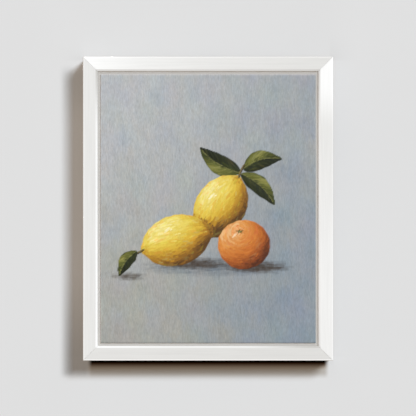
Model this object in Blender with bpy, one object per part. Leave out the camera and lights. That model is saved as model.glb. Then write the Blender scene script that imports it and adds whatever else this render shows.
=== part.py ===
"""Small oil painting on a linen panel, float-mounted in a slim white frame.

Units are metres. +X is to the right and +Z is up for someone who faces the picture, and -Y
points out of the picture towards them. The origin is where the wall's nail carries the sawtooth
hanger: Y = 0 is the wall, and the frame stands off it by the thickness of its bumpers.
"""

import math

import bmesh
import bpy
from mathutils import Matrix, Vector

# Painting: an eight by ten inch panel of linen on thin, dense card.
PANEL_WIDTH = 0.2032
PANEL_HEIGHT = 0.254
CORE_THICKNESS = 0.001
LINEN_THICKNESS = 0.0004
PAINT_RECESS = 0.0013  # the painting's surface lies this far below the frame's face

# Frame moulding, in the section across a rail.
FLOAT_GAP = 0.0026  # between the painting's edge and the frame's inner edge
FACE_WIDTH = 0.012
BEVEL_WIDTH = 0.0018
BEVEL_DROP = 0.00095
FRAME_DEPTH = 0.035
REBATE_WIDTH = 0.005
OUTER_EDGE_RADIUS = 0.0009
SMALL_EDGE_RADIUS = 0.0003
BACK_EDGE_RADIUS = 0.0005
OUTER_EDGE_STEPS = 6
SMALL_EDGE_STEPS = 3
MITRE_GAP = 0.0001

# Boards in the rebate.
BOARD_PLAY = 0.0008  # between a board's edge and the rebate's wall
MOUNT_THICKNESS = 0.002
BACKING_THICKNESS = 0.003
SEAT_GAP = 0.0001  # between two pieces that lie on each other
BOARD_EDGE = 0.0002

# Framer's points, which hold the boards from behind.
POINT_THICKNESS = 0.0004
POINT_WIDTH = 0.006
POINT_LENGTH = 0.018
POINT_BITE = 0.006  # how much of a point is in the rail
POINT_TIP = 0.003
POINT_FIT = 0.0001
POINTS_ACROSS = 2
POINTS_UP = 3

# V-shaped nails across the mitres.
V_NAIL_ARM = 0.0045
V_NAIL_THICKNESS = 0.0006
V_NAIL_HEIGHT = 0.010
V_NAIL_APEX = 0.0072  # from both outer sides of the corner to the outside of the bend
V_NAIL_SINK = 0.0003  # below the back of the frame
V_NAIL_FIT = 0.0001

# Hanger, its nails and the bumpers.
HANGER_LENGTH = 0.040
HANGER_HEIGHT = 0.0075
HANGER_THICKNESS = 0.0008
HANGER_RISE = 0.0013
HANGER_TAB = 0.0065  # length of each flat end
HANGER_RAMP = 0.0025
TOOTH_PITCH = 0.0025
TOOTH_DEPTH = 0.0015
TOOTH_COUNT = 9
NAIL_INSET = 0.0032  # from the hanger's end to its nail
NAIL_RADIUS = 0.0006
NAIL_LENGTH = 0.010
NAIL_POINT = 0.002
NAIL_HEAD_RADIUS = 0.0014
NAIL_HEAD_THICKNESS = 0.0006
NAIL_DOME_STEPS = 3
NAIL_FIT = 0.00015
HANGER_DROP = 0.0015  # from the frame's top edge to the hanger's
BUMPER_RADIUS = 0.004
BUMPER_THICKNESS = 0.003
BUMPER_EDGE = 0.0005
BUMPER_INSET = 0.012  # from the frame's side to the bumper's middle
ROUND_STEPS = 40
NAIL_STEPS = 20
SMOOTH_ANGLE = math.radians(35)
MERGE_DISTANCE = 0.00001

# Worked out from the above.
RAIL_WIDTH = FACE_WIDTH + BEVEL_WIDTH
BODY_WIDTH = RAIL_WIDTH - REBATE_WIDTH
FRAME_WIDTH = PANEL_WIDTH + 2 * (FLOAT_GAP + RAIL_WIDTH)
FRAME_HEIGHT = PANEL_HEIGHT + 2 * (FLOAT_GAP + RAIL_WIDTH)
BACK_Y = -BUMPER_THICKNESS
FRONT_Y = BACK_Y - FRAME_DEPTH
TOP_Z = HANGER_DROP + HANGER_HEIGHT - TOOTH_DEPTH
CENTRE_Z = TOP_Z - FRAME_HEIGHT / 2
BOARD_WIDTH = FRAME_WIDTH - 2 * (BODY_WIDTH + BOARD_PLAY)
BOARD_HEIGHT = FRAME_HEIGHT - 2 * (BODY_WIDTH + BOARD_PLAY)
LINEN_FRONT = FRONT_Y + PAINT_RECESS
CORE_FRONT = LINEN_FRONT + LINEN_THICKNESS + SEAT_GAP
MOUNT_FRONT = CORE_FRONT + CORE_THICKNESS + SEAT_GAP
LIP_THICKNESS = MOUNT_FRONT - SEAT_GAP - FRONT_Y
BACKING_FRONT = MOUNT_FRONT + MOUNT_THICKNESS + SEAT_GAP
POINT_FRONT = BACKING_FRONT + BACKING_THICKNESS + SEAT_GAP


def clear_scene():
    for old in list(bpy.data.objects):
        bpy.data.objects.remove(old, do_unlink=True)


def finish(name, colour, roughness, metallic=0.0):
    """A plain Principled material."""
    material = bpy.data.materials.new(name)
    material.use_nodes = True
    shader = material.node_tree.nodes["Principled BSDF"]
    shader.inputs["Base Color"].default_value = (*colour, 1.0)
    shader.inputs["Roughness"].default_value = roughness
    shader.inputs["Metallic"].default_value = metallic
    return material


def piece(name, mesh_builder, material=None, parent=None):
    """An object made from a bmesh, with its normals pointing out."""
    bmesh.ops.recalc_face_normals(mesh_builder, faces=mesh_builder.faces)
    mesh = bpy.data.meshes.new(name)
    mesh_builder.to_mesh(mesh)
    mesh_builder.free()
    obj = bpy.data.objects.new(name, mesh)
    bpy.context.scene.collection.objects.link(obj)
    obj.parent = parent
    if material:
        mesh.materials.append(material)
    return obj


def cutter(name, mesh_builder, parent=None):
    """A hidden solid that is only there to be cut out of others."""
    obj = piece(name, mesh_builder, parent=parent)
    obj.hide_render = True
    obj.display_type = "WIRE"
    return obj


def cut(target, tool):
    """Takes the tool's shape out of the target."""
    boolean = target.modifiers.new(tool.name, "BOOLEAN")
    boolean.operation = "DIFFERENCE"
    boolean.solver = "EXACT"
    boolean.object = tool


def smooth(obj):
    obj.data.shade_smooth()
    obj.data.set_sharp_from_angle(angle=SMOOTH_ANGLE)


def fillet(before, corner, after, radius, steps):
    """Points of the arc that rounds one corner of an outline, or the corner itself."""
    if not radius:
        return [corner]
    towards_before = (before - corner).normalized()
    towards_after = (after - corner).normalized()
    half = towards_before.angle(towards_after) / 2
    middle = corner + (towards_before + towards_after).normalized() * (radius / math.sin(half))
    start = corner + towards_before * (radius / math.tan(half)) - middle
    end = corner + towards_after * (radius / math.tan(half)) - middle
    return [middle + start.slerp(end, step / steps) * radius for step in range(steps + 1)]


def rail_section():
    """The moulding's outline as (width in from the outer side, depth back from the face)."""
    corners = (
        ((0, FRAME_DEPTH), BACK_EDGE_RADIUS, SMALL_EDGE_STEPS),
        ((0, 0), OUTER_EDGE_RADIUS, OUTER_EDGE_STEPS),
        ((FACE_WIDTH, 0), SMALL_EDGE_RADIUS, SMALL_EDGE_STEPS),
        ((RAIL_WIDTH, BEVEL_DROP), SMALL_EDGE_RADIUS, SMALL_EDGE_STEPS),
        ((RAIL_WIDTH, LIP_THICKNESS), 0, 0),
        ((BODY_WIDTH, LIP_THICKNESS), 0, 0),
        ((BODY_WIDTH, FRAME_DEPTH), SMALL_EDGE_RADIUS, SMALL_EDGE_STEPS),
    )
    points = [Vector(point) for point, _, _ in corners]
    outline = []
    for index, (_, radius, steps) in enumerate(corners):
        after = points[(index + 1) % len(points)]
        outline += fillet(points[index - 1], points[index], after, radius, steps)
    return outline


def rail(name, length, material, side):
    """One rail, made lying along X with its outer side up, then turned to its side of the frame."""
    half = length / 2
    mitre_back_off = MITRE_GAP / math.sqrt(2)
    shape = bmesh.new()
    profile = [
        shape.verts.new((width + mitre_back_off - half, FRONT_Y + depth, -width))
        for width, depth in rail_section()
    ]
    start = shape.faces.new(profile)
    grown = bmesh.ops.extrude_face_region(shape, geom=[start], use_keep_orig=True)["geom"]
    for vertex in grown:
        if isinstance(vertex, bmesh.types.BMVert):
            vertex.co.x = -vertex.co.x
    obj = piece(name, shape, material, parent=side)
    smooth(obj)
    return obj


def side_of_frame(name, angle, reach):
    """An empty at the middle of one outer side, turned so that its +Z points out of the frame."""
    side = bpy.data.objects.new(name, None)
    bpy.context.scene.collection.objects.link(side)
    outward = Matrix.Rotation(angle, 4, "Y")
    side.matrix_world = Matrix.Translation((0, 0, CENTRE_Z)) @ outward @ Matrix.Translation((0, 0, reach))
    return side


def board(name, width, height, front, thickness, material):
    """A flat board with lightly eased edges, centred in the frame."""
    shape = bmesh.new()
    bmesh.ops.create_cube(shape, size=1)
    bmesh.ops.scale(shape, vec=(width, thickness, height), verts=shape.verts)
    bmesh.ops.translate(shape, vec=(0, front + thickness / 2, CENTRE_Z), verts=shape.verts)
    bmesh.ops.bevel(
        shape, geom=shape.edges[:], offset=BOARD_EDGE, segments=1, profile=0.5, affect="EDGES", material=-1
    )
    return piece(name, shape, material)


def extruded(outline, offset):
    """A bmesh of a flat outline, carried along one straight offset into a solid."""
    shape = bmesh.new()
    face = shape.faces.new([shape.verts.new(point) for point in outline])
    grown = bmesh.ops.extrude_face_region(shape, geom=[face], use_keep_orig=True)["geom"]
    moved = [part for part in grown if isinstance(part, bmesh.types.BMVert)]
    bmesh.ops.translate(shape, vec=offset, verts=moved)
    return shape


def v_nail_shape(right, up, grow):
    """An angle of sheet steel whose bend lies on the mitre, grown all round to make its slot."""
    corner = Vector((right * FRAME_WIDTH / 2, 0, CENTRE_Z + up * FRAME_HEIGHT / 2))
    bend = V_NAIL_APEX
    far = bend - V_NAIL_ARM - grow
    near = bend - V_NAIL_THICKNESS - grow
    plan = (
        (far, bend + grow),
        (bend + grow, bend + grow),
        (bend + grow, far),
        (near, far),
        (near, near),
        (far, near),
    )
    deep = BACK_Y - V_NAIL_SINK - V_NAIL_HEIGHT - grow
    reach = V_NAIL_HEIGHT + grow + (V_NAIL_SINK + V_NAIL_FIT if grow else 0)
    outline = [corner + Vector((-right * across, deep, -up * down)) for across, down in plan]
    return extruded(outline, (0, reach, 0))


def point_outline(grow):
    """A framer's point in plan as (along the rail, out from the frame's outer side)."""
    half = POINT_WIDTH / 2 + grow
    tip = BODY_WIDTH - POINT_BITE - grow
    end = BODY_WIDTH - POINT_BITE + POINT_LENGTH
    return (
        (0, tip),
        (half, tip + POINT_TIP),
        (half, end - POINT_TIP / 2),
        (half - POINT_TIP / 2, end),
        (POINT_TIP / 2 - half, end),
        (-half, end - POINT_TIP / 2),
        (-half, tip + POINT_TIP),
    )


def framer_point_shape(along, grow):
    """One point, in the space of its rail's side, grown all round to make its slot."""
    outline = [
        Vector((along + sideways, POINT_FRONT - grow, -inward)) for sideways, inward in point_outline(grow)
    ]
    return extruded(outline, (0, POINT_THICKNESS + 2 * grow, 0))


def sawtooth_hanger(material):
    """A pressed strip: two flat ends on the rail, and a raised middle with teeth on its lower edge."""
    half = HANGER_LENGTH / 2
    top = HANGER_HEIGHT - TOOTH_DEPTH
    toothed = TOOTH_COUNT * TOOTH_PITCH / 2
    outline = [(-half, top), (-half, -TOOTH_DEPTH)]
    for tooth in range(TOOTH_COUNT):
        left = tooth * TOOTH_PITCH - toothed
        outline += [(left, -TOOTH_DEPTH), (left + TOOTH_PITCH / 2, 0)]
    outline += [(toothed, -TOOTH_DEPTH), (half, -TOOTH_DEPTH), (half, top)]
    shape = bmesh.new()
    foot = BACK_Y + SEAT_GAP
    shape.faces.new([shape.verts.new((across, foot, up)) for across, up in outline])
    ramp_start = half - HANGER_TAB
    for fold in (ramp_start, ramp_start - HANGER_RAMP, HANGER_RAMP - ramp_start, -ramp_start):
        geometry = shape.verts[:] + shape.edges[:] + shape.faces[:]
        bmesh.ops.bisect_plane(shape, geom=geometry, plane_co=(fold, 0, 0), plane_no=(1, 0, 0))
    for vertex in shape.verts:
        climbed = (ramp_start - abs(vertex.co.x)) / HANGER_RAMP
        vertex.co.y += HANGER_RISE * min(max(climbed, 0), 1)
    grown = bmesh.ops.extrude_face_region(shape, geom=shape.faces[:], use_keep_orig=True)["geom"]
    moved = [part for part in grown if isinstance(part, bmesh.types.BMVert)]
    bmesh.ops.translate(shape, vec=(0, HANGER_THICKNESS, 0), verts=moved)
    return piece("sawtooth_hanger", shape, material)


def turned(outline, centre, steps):
    """A solid of revolution about Y from an outline of (radius, depth) that starts and ends on the axis."""
    shape = bmesh.new()
    points = [shape.verts.new(centre + Vector((radius, depth, 0))) for radius, depth in outline]
    edges = [shape.edges.new(pair) for pair in zip(points, points[1:])]
    bmesh.ops.spin(
        shape,
        geom=points + edges,
        cent=centre,
        axis=(0, 1, 0),
        angle=2 * math.pi,
        steps=steps,
        use_merge=True,
    )
    bmesh.ops.remove_doubles(shape, verts=shape.verts, dist=MERGE_DISTANCE)
    return shape


def hanger_nail_centre(right):
    across = right * (HANGER_LENGTH / 2 - NAIL_INSET)
    return Vector((across, BACK_Y + SEAT_GAP + HANGER_THICKNESS, HANGER_HEIGHT / 2 - TOOTH_DEPTH))


def hanger_nail(name, right, material):
    """A small nail with a domed head, driven through the hanger's end."""
    dome = NAIL_HEAD_THICKNESS / 2
    outline = [
        (0, -NAIL_LENGTH),
        (NAIL_RADIUS, NAIL_POINT - NAIL_LENGTH),
        (NAIL_RADIUS, SEAT_GAP),
        (NAIL_HEAD_RADIUS, SEAT_GAP),
    ]
    for step in range(NAIL_DOME_STEPS + 1):
        climb = math.pi / 2 * step / NAIL_DOME_STEPS
        outline.append((NAIL_HEAD_RADIUS * math.cos(climb), SEAT_GAP + dome + dome * math.sin(climb)))
    obj = piece(name, turned(outline, hanger_nail_centre(right), NAIL_STEPS), material)
    smooth(obj)
    return obj


def nail_hole(name, right):
    """The hole that a hanger nail makes in the hanger and in the rail."""
    radius = NAIL_RADIUS + NAIL_FIT
    outline = (
        (0, -NAIL_LENGTH - NAIL_FIT),
        (radius, NAIL_POINT - NAIL_LENGTH),
        (radius, NAIL_POINT),
        (0, NAIL_POINT),
    )
    return cutter(name, turned(outline, hanger_nail_centre(right), NAIL_STEPS))


def bumper(name, right, material):
    """A round pad with a flat back, stuck on the lower rail."""
    height = CENTRE_Z - FRAME_HEIGHT / 2 + BODY_WIDTH / 2
    centre = Vector((right * (FRAME_WIDTH / 2 - BUMPER_INSET), 0, height))
    outline = (
        (0, BACK_Y + SEAT_GAP),
        (BUMPER_RADIUS, BACK_Y + SEAT_GAP),
        (BUMPER_RADIUS, -BUMPER_EDGE),
        (BUMPER_RADIUS - BUMPER_EDGE, 0),
        (0, 0),
    )
    obj = piece(name, turned(outline, centre, ROUND_STEPS), material)
    smooth(obj)
    return obj


def build_frame(lacquer, steel):
    """The four rails, with the nails across their mitres and the points in their rebates."""
    quarter = math.pi / 2
    sides = {
        "top": (0, FRAME_WIDTH, FRAME_HEIGHT, POINTS_ACROSS),
        "right": (quarter, FRAME_HEIGHT, FRAME_WIDTH, POINTS_UP),
        "bottom": (2 * quarter, FRAME_WIDTH, FRAME_HEIGHT, POINTS_ACROSS),
        "left": (3 * quarter, FRAME_HEIGHT, FRAME_WIDTH, POINTS_UP),
    }
    rails = {}
    for side_name, (angle, length, span, point_count) in sides.items():
        side = side_of_frame(f"side_{side_name}", angle, span / 2)
        rails[side_name] = rail(f"rail_{side_name}", length, lacquer, side)
        for number in range(point_count):
            along = length * ((number + 0.5) / point_count - 0.5)
            label = f"{side_name}_{number + 1}"
            piece(f"framer_point_{label}", framer_point_shape(along, 0), steel, side)
            slot = cutter(f"point_slot_{label}", framer_point_shape(along, POINT_FIT), side)
            cut(rails[side_name], slot)
    for upright, up in (("top", 1), ("bottom", -1)):
        for lateral, right in (("left", -1), ("right", 1)):
            label = f"{upright}_{lateral}"
            piece(f"v_nail_{label}", v_nail_shape(right, up, 0), steel)
            slot = cutter(f"v_slot_{label}", v_nail_shape(right, up, V_NAIL_FIT))
            cut(rails[upright], slot)
            cut(rails[lateral], slot)
    return rails


def main():
    clear_scene()
    lacquer = finish("white_lacquer", (0.86, 0.86, 0.85), 0.35)
    mount_paper = finish("mount_paper", (0.84, 0.83, 0.81), 0.8)
    linen = finish("painted_linen", (0.45, 0.49, 0.5), 0.6)
    millboard = finish("millboard", (0.33, 0.3, 0.25), 0.85)
    hardboard = finish("hardboard", (0.3, 0.19, 0.11), 0.7)
    steel = finish("steel", (0.55, 0.54, 0.52), 0.35, 1.0)
    plated = finish("brass_plating", (0.72, 0.6, 0.36), 0.3, 1.0)
    rubber = finish("rubber", (0.12, 0.12, 0.12), 0.8)

    rails = build_frame(lacquer, steel)
    board("painted_linen", PANEL_WIDTH, PANEL_HEIGHT, LINEN_FRONT, LINEN_THICKNESS, linen)
    board("panel_core", PANEL_WIDTH, PANEL_HEIGHT, CORE_FRONT, CORE_THICKNESS, millboard)
    board("mount_board", BOARD_WIDTH, BOARD_HEIGHT, MOUNT_FRONT, MOUNT_THICKNESS, mount_paper)
    board("backing_board", BOARD_WIDTH, BOARD_HEIGHT, BACKING_FRONT, BACKING_THICKNESS, hardboard)

    hanger = sawtooth_hanger(plated)
    for lateral, right in (("left", -1), ("right", 1)):
        hanger_nail(f"hanger_nail_{lateral}", right, plated)
        hole = nail_hole(f"nail_hole_{lateral}", right)
        cut(hanger, hole)
        cut(rails["top"], hole)
        bumper(f"bumper_{lateral}", right, rubber)


main()
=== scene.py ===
"""Looks for a small oil painting in a white float frame, hanging on a pale wall.

The frame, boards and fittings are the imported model's own nodes, and get their finishes here. The
painted linen is rebuilt as two pieces: the linen itself, and the coat of oil paint that covers its face
and edges. The picture is a generic still life, laid in stroke by stroke. +X is to the right and +Z is up
for someone who faces the picture, -Y points towards them, and the wall is at Y = 0. Sizes are metres,
except in the artwork, which is worked out in millimetres from the middle of the painting.
"""

import math

import bmesh
import bpy
import numpy as np
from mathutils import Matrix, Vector


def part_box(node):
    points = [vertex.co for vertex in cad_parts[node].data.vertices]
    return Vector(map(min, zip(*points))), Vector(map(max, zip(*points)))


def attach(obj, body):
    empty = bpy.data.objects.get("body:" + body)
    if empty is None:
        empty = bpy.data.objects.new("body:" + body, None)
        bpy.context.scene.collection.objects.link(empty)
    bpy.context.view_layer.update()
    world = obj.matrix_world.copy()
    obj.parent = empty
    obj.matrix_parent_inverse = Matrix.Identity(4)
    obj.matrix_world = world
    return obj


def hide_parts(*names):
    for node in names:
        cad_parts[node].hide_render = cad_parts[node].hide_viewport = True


MM = 0.001

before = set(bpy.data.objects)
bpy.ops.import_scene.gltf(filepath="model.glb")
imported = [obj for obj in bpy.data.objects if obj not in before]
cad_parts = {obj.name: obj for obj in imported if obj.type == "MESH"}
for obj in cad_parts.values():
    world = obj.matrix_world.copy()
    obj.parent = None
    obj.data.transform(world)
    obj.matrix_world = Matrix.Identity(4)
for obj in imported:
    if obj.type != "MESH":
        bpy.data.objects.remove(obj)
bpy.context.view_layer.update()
linen_low, linen_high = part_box("painted_linen")
rail_low, rail_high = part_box("rail_right")

MIDDLE_Z = (linen_low.z + linen_high.z) / 2
PAINTING_WIDTH = linen_high.x - linen_low.x
PAINTING_HEIGHT = linen_high.z - linen_low.z
FACE_Y = rail_low.y
BACK_Y = rail_high.y
MOUNT_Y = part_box("mount_board")[0].y  # the mount board's front
HALF_WIDTH = rail_high.x
HALF_HEIGHT = (rail_high.z - rail_low.z) / 2
RAIL_WIDTH = rail_high.x - rail_low.x

# ---------------------------------------------------------------- Shader nodes


def smooth(low, high, value):
    """0 at low, 1 at high, and an even curve between them."""
    share = np.clip((value - low) / (high - low), 0, 1)
    return share * share * (3 - 2 * share)


def mixed(*shade):
    """A colour given from 0 to 255 a channel, as linear reflectance."""
    display = np.array(shade) / 255
    return np.where(display <= 0.04045, display / 12.92, ((display + 0.055) / 1.055) ** 2.4)


def socket_value(value):
    """A plain value in the form that a socket takes, with its fourth channel if it is a colour."""
    if isinstance(value, np.ndarray):
        return (*value.tolist(), 1.0)
    return value


class Wire:
    """One output of a shader node. Arithmetic on wires adds the Math nodes that work it out."""

    def __init__(self, tree, socket=None):
        self.tree = tree
        self.socket = socket

    def node(self, kind, settings=None, sockets=None, output=0):
        """Adds a node and gives one of its outputs. Its settings go first, as they decide its sockets."""
        made = self.tree.nodes.new(kind)
        for name, value in (settings or {}).items():
            setattr(made, name, value)
        for name, value in (sockets or {}).items():
            if isinstance(value, Wire):
                self.tree.links.new(value.socket, made.inputs[name])
            else:
                made.inputs[name].default_value = socket_value(value)
        return Wire(self.tree, made.outputs[output])

    def maths(self, operation, *values):
        """A Math node's result for those values."""
        return self.node("ShaderNodeMath", {"operation": operation}, dict(enumerate(values)))

    def __add__(self, other):
        return self.maths("ADD", self, other)

    __radd__ = __add__

    def __sub__(self, other):
        return self.maths("SUBTRACT", self, other)

    def __rsub__(self, other):
        return self.maths("SUBTRACT", other, self)

    def __mul__(self, other):
        return self.maths("MULTIPLY", self, other)

    __rmul__ = __mul__

    def __abs__(self):
        return self.maths("ABSOLUTE", self)

    def least(self, other):
        return self.maths("MINIMUM", self, other)

    def most(self, other):
        return self.maths("MAXIMUM", self, other)

    def sine(self):
        return self.maths("SINE", self)

    def inverse_root(self):
        return self.maths("INVERSE_SQRT", self)

    def step(self, low, high):
        """0 below low, 1 above high, and an even curve between them."""
        return self.node(
            "ShaderNodeMapRange",
            {"interpolation_type": "SMOOTHSTEP"},
            {"Value": self, "From Min": low, "From Max": high},
        )

    def blend(self, nought, one):
        """The first colour where this wire is 0, and the second where it is 1."""
        settings = {"data_type": "RGBA", "clamp_factor": False}
        return self.node("ShaderNodeMix", settings, {0: self, 6: nought, 7: one}, 2)

    def times(self, tint):
        """This colour seen through another, channel by channel."""
        return self.node("ShaderNodeVectorMath", {"operation": "MULTIPLY"}, {0: self, 1: tint})

    def shaded(self, amount):
        """This colour made lighter or darker by a factor around 1."""
        return self.times(self.node("ShaderNodeCombineXYZ", {}, {0: amount, 1: amount, 2: amount}))

    def apart(self):
        """This place's X, Y and Z."""
        split = self.node("ShaderNodeSeparateXYZ", {}, {0: self})
        return [Wire(self.tree, output) for output in split.socket.node.outputs]

    def stretched(self, x, y, z):
        """This place with each axis scaled, so that what is drawn on it stretches the other way."""
        return self.node("ShaderNodeMapping", {}, {"Vector": self, "Scale": (x, y, z)})

    def noise(self, size, detail=3.0, roughness=0.5, distortion=0.0):
        """Cloudy noise, from 0 to 1, with patches about that size."""
        pattern = {"Scale": 1 / size, "Detail": detail, "Roughness": roughness, "Distortion": distortion}
        return self.node("ShaderNodeTexNoise", {}, {"Vector": self, **pattern})

    def cells(self, size):
        """The distance to the nearest of many scattered points, about that far apart."""
        return self.node("ShaderNodeTexVoronoi", {}, {"Vector": self, "Scale": 1 / size})


class Finish:
    """A material, with the place on the surface that its patterns are drawn on."""

    def __init__(self, name, constants):
        self.material = bpy.data.materials.new(name)
        self.material.use_nodes = True
        self.tree = self.material.node_tree
        self.shader = self.tree.nodes["Principled BSDF"]
        for socket, value in constants.items():
            self.shader.inputs[socket].default_value = value
        self.place = Wire(self.tree).node("ShaderNodeTexCoord", output="Object")

    def feed(self, socket, wire):
        """Links a wire to one of the shader's own sockets."""
        self.tree.links.new(wire.socket, self.shader.inputs[socket])

    def patterned(self, colour, roughness, height, depth):
        """The material with its patterns fed in. Height bumps the surface, in units of depth metres."""
        self.feed("Base Color", colour)
        self.feed("Roughness", roughness)
        self.feed("Normal", height.node("ShaderNodeBump", {}, {"Height": height, "Distance": depth}))
        return self.material


# ---------------------------------------------------------------- Finishes of the frame and its fittings

# The two ends of the white: painted light and shade blend between them. The dimmer one is also the
# overspray's colour.
LACQUER_BRIGHT = mixed(249, 249, 248)
LACQUER_DIM = mixed(217, 216, 213)
# how much painted highlight lies on each rail's rounded outer edge
ARRIS_HIGHLIGHT = {"rail_top": 0.20, "rail_right": 0.25, "rail_left": 0.60, "rail_bottom": 0.85}
RAW_WOOD_PALE = mixed(214, 186, 146)
RAW_WOOD_DARK = mixed(176, 138, 96)
ARRIS = 0.0009  # the width of the rounded outer edge
BEVEL_START = 0.012  # how far in from the outside the bevel begins
REBATE_START = 0.0055  # how far in the bare wood of the rebate begins
LACQUER_STOP = 0.0011  # how far short of the back the lacquer stops
LACQUER_EDGE = 0.0004  # how softly it ends
LACQUER_WANDER = 0.0008  # how far its end wanders to either side
GRAIN_STRETCH = 0.035  # the grain's scale along a rail, where it is 1 across it


def painted_rail_light(rail, along):
    """Painted light and shade along a rail, from its left or top end: on its face, and on its bevel.

    0 is the dimmer white and 1 the brightest. These tones are painted light and shade, tuned to the front
    view.
    The same value all along would make a rail even.
    """
    if rail == "rail_top":
        left = 1 - along
        face = 0.13 + left * (0.18 + 0.79 * (left * left))
        bevel = 0.50 - 0.15 * along - 0.35 * along.step(0.9, 0.97)
    elif rail == "rail_bottom":
        face = 0.16 - 0.13 * along
        bevel = 0.88 - 0.47 * along.step(0, 0.5) - 0.97 * along.step(0.64, 0.94)
    elif rail == "rail_left":
        face = 0.31 + 0.02 * along
        bevel = -0.66 + 1.30 * along.step(0, 0.25) + 0.30 * along
    else:
        face = 0.98 - 0.67 * along.step(0.08, 0.25) + 0.28 * along.step(0.2, 0.8)
        bevel = 0.46 + 0.68 * along.step(0, 0.25) - 0.46 * along.step(0.82, 1.0)
    return face, bevel


def lacquered_wood(rail):
    """Sprayed satin white over pale wood, which is bare in the rebate and on the back.

    The white carries painted light and shade along each rail, and a painted highlight on its outer edge.
    """
    finish = Finish(rail + "_lacquer", {"Specular IOR Level": 0.4})
    x, y, z = finish.place.apart()
    if rail in ("rail_top", "rail_bottom"):
        along = x * (0.5 / HALF_WIDTH) + 0.5
        grain_place = finish.place.stretched(GRAIN_STRETCH, 1, 1)
    else:
        along = (z - MIDDLE_Z) * (-0.5 / HALF_HEIGHT) + 0.5
        grain_place = finish.place.stretched(1, 1, GRAIN_STRETCH)
    depth_in = (HALF_WIDTH - abs(x)).least(HALF_HEIGHT - abs(z - MIDDLE_Z))
    ragged = finish.place.noise(0.004, 4.0, 0.6) * (2 * LACQUER_WANDER) - LACQUER_WANDER
    lacquer_end = BACK_Y - LACQUER_STOP
    on_back = (y + ragged).step(lacquer_end, lacquer_end + LACQUER_EDGE)
    in_rebate = (depth_in + ragged).step(REBATE_START, REBATE_START + LACQUER_EDGE)
    behind_lip = y.step(MOUNT_Y - 0.00015, MOUNT_Y - 0.00005)  # the lip is lacquered down to the board
    bare = on_back.most(in_rebate * behind_lip)

    face, bevel = painted_rail_light(rail, along)
    on_bevel = depth_in.step(BEVEL_START - 0.0002, BEVEL_START + 0.0001)
    on_arris = 1 - depth_in.step(ARRIS, 1.6 * ARRIS)
    # painted light and shade along the rail, with a painted highlight on its rounded outer edge
    painted_light = face + on_bevel * (bevel - face) + ARRIS_HIGHLIGHT[rail] * on_arris
    lines = grain_place.noise(0.0016, 3.0, 0.6)
    slow = finish.place.noise(0.05, 2.0)
    white = (painted_light + 0.10 * slow - 0.05).blend(LACQUER_DIM, LACQUER_BRIGHT).shaded(0.93 + 0.14 * lines)

    rings = grain_place.noise(0.0032, 5.0, 0.62, 0.8)
    pores = grain_place.noise(0.0005, 2.0, 0.5)
    wood = rings.step(0.34, 0.68).blend(RAW_WOOD_PALE, RAW_WOOD_DARK).shaded(0.86 + 0.26 * pores)
    speckle = finish.place.noise(0.0007, 3.0, 0.7)
    near_edge = 1 - depth_in.step(0.0006, 0.0042)
    overspray = (speckle + 0.22 * near_edge).step(0.60, 0.74)
    colour = bare.blend(white, overspray.blend(wood, LACQUER_DIM))
    peel = finish.place.noise(0.0022, 2.0, 0.5)
    relief = (1 - bare) * (0.5 * peel + 0.35 * rings) + bare * (rings + 1.4 * pores)
    return finish.patterned(colour, bare * 0.34 + 0.36 + 0.06 * slow, relief, 0.00004)


MESH_PITCH = 0.0016
BOARD_LIGHT = mixed(158, 118, 80)
BOARD_DARK = mixed(112, 77, 48)


def hardboard():
    """Pressed wood fibre. Its back carries the print of the wire mesh that it was pressed on."""
    finish = Finish("backing_hardboard", {"Specular IOR Level": 0.3})
    x, _, z = finish.place.apart()
    clouds = finish.place.noise(0.035, 4.0, 0.55)
    fibres = finish.place.noise(0.0016, 6.0, 0.72, 1.6)
    flecks = finish.place.noise(0.0045, 3.0, 0.6, 0.6)
    tone = (0.18 * clouds + 0.50 * fibres + 0.30 * flecks).step(0.27, 0.71)
    wires = 2 * math.pi / MESH_PITCH
    dimple = ((x * wires).sine() * (z * wires).sine()).step(-0.2, 0.8)
    # the colour is darker where the mesh's dimples sink in
    colour = tone.blend(BOARD_DARK, BOARD_LIGHT).shaded(1.04 - 0.22 * dimple)
    return finish.patterned(colour, 0.62 + 0.22 * fibres, 0.5 * fibres - dimple, 0.00009)


CARD_GREY = mixed(158, 150, 137)
CARD_DARK = mixed(120, 111, 98)


def millboard():
    """Dense card made from waste paper, with its short fibres and the odd darker fleck."""
    finish = Finish("panel_millboard", {"Specular IOR Level": 0.2})
    fibres = finish.place.stretched(1, 1, 0.4).noise(0.0011, 5.0, 0.7, 0.8)
    clouds = finish.place.noise(0.02, 3.0)
    flecks = finish.place.noise(0.0014, 2.0, 0.5).step(0.62, 0.70)
    tone = (0.5 * fibres + 0.4 * clouds + 0.35 * flecks).step(0.30, 0.85)
    colour = tone.blend(CARD_GREY, CARD_DARK)
    return finish.patterned(colour, 0.80 + 0.12 * fibres, fibres + 0.4 * flecks, 0.00003)


MOUNT_GREY = mixed(199, 195, 190)
MOUNT_DARKER = mixed(192, 187, 181)
# painted light for the strips of board that the lip and the panel shade
MOUNT_PAINTED_LIGHT = mixed(242, 240, 237)
PAINTED_LIGHT_STRIP = 0.0008  # how far the painted light reaches from the lip and the panel, to lighten their shade
STRIP_EDGE = 0.0002


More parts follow.
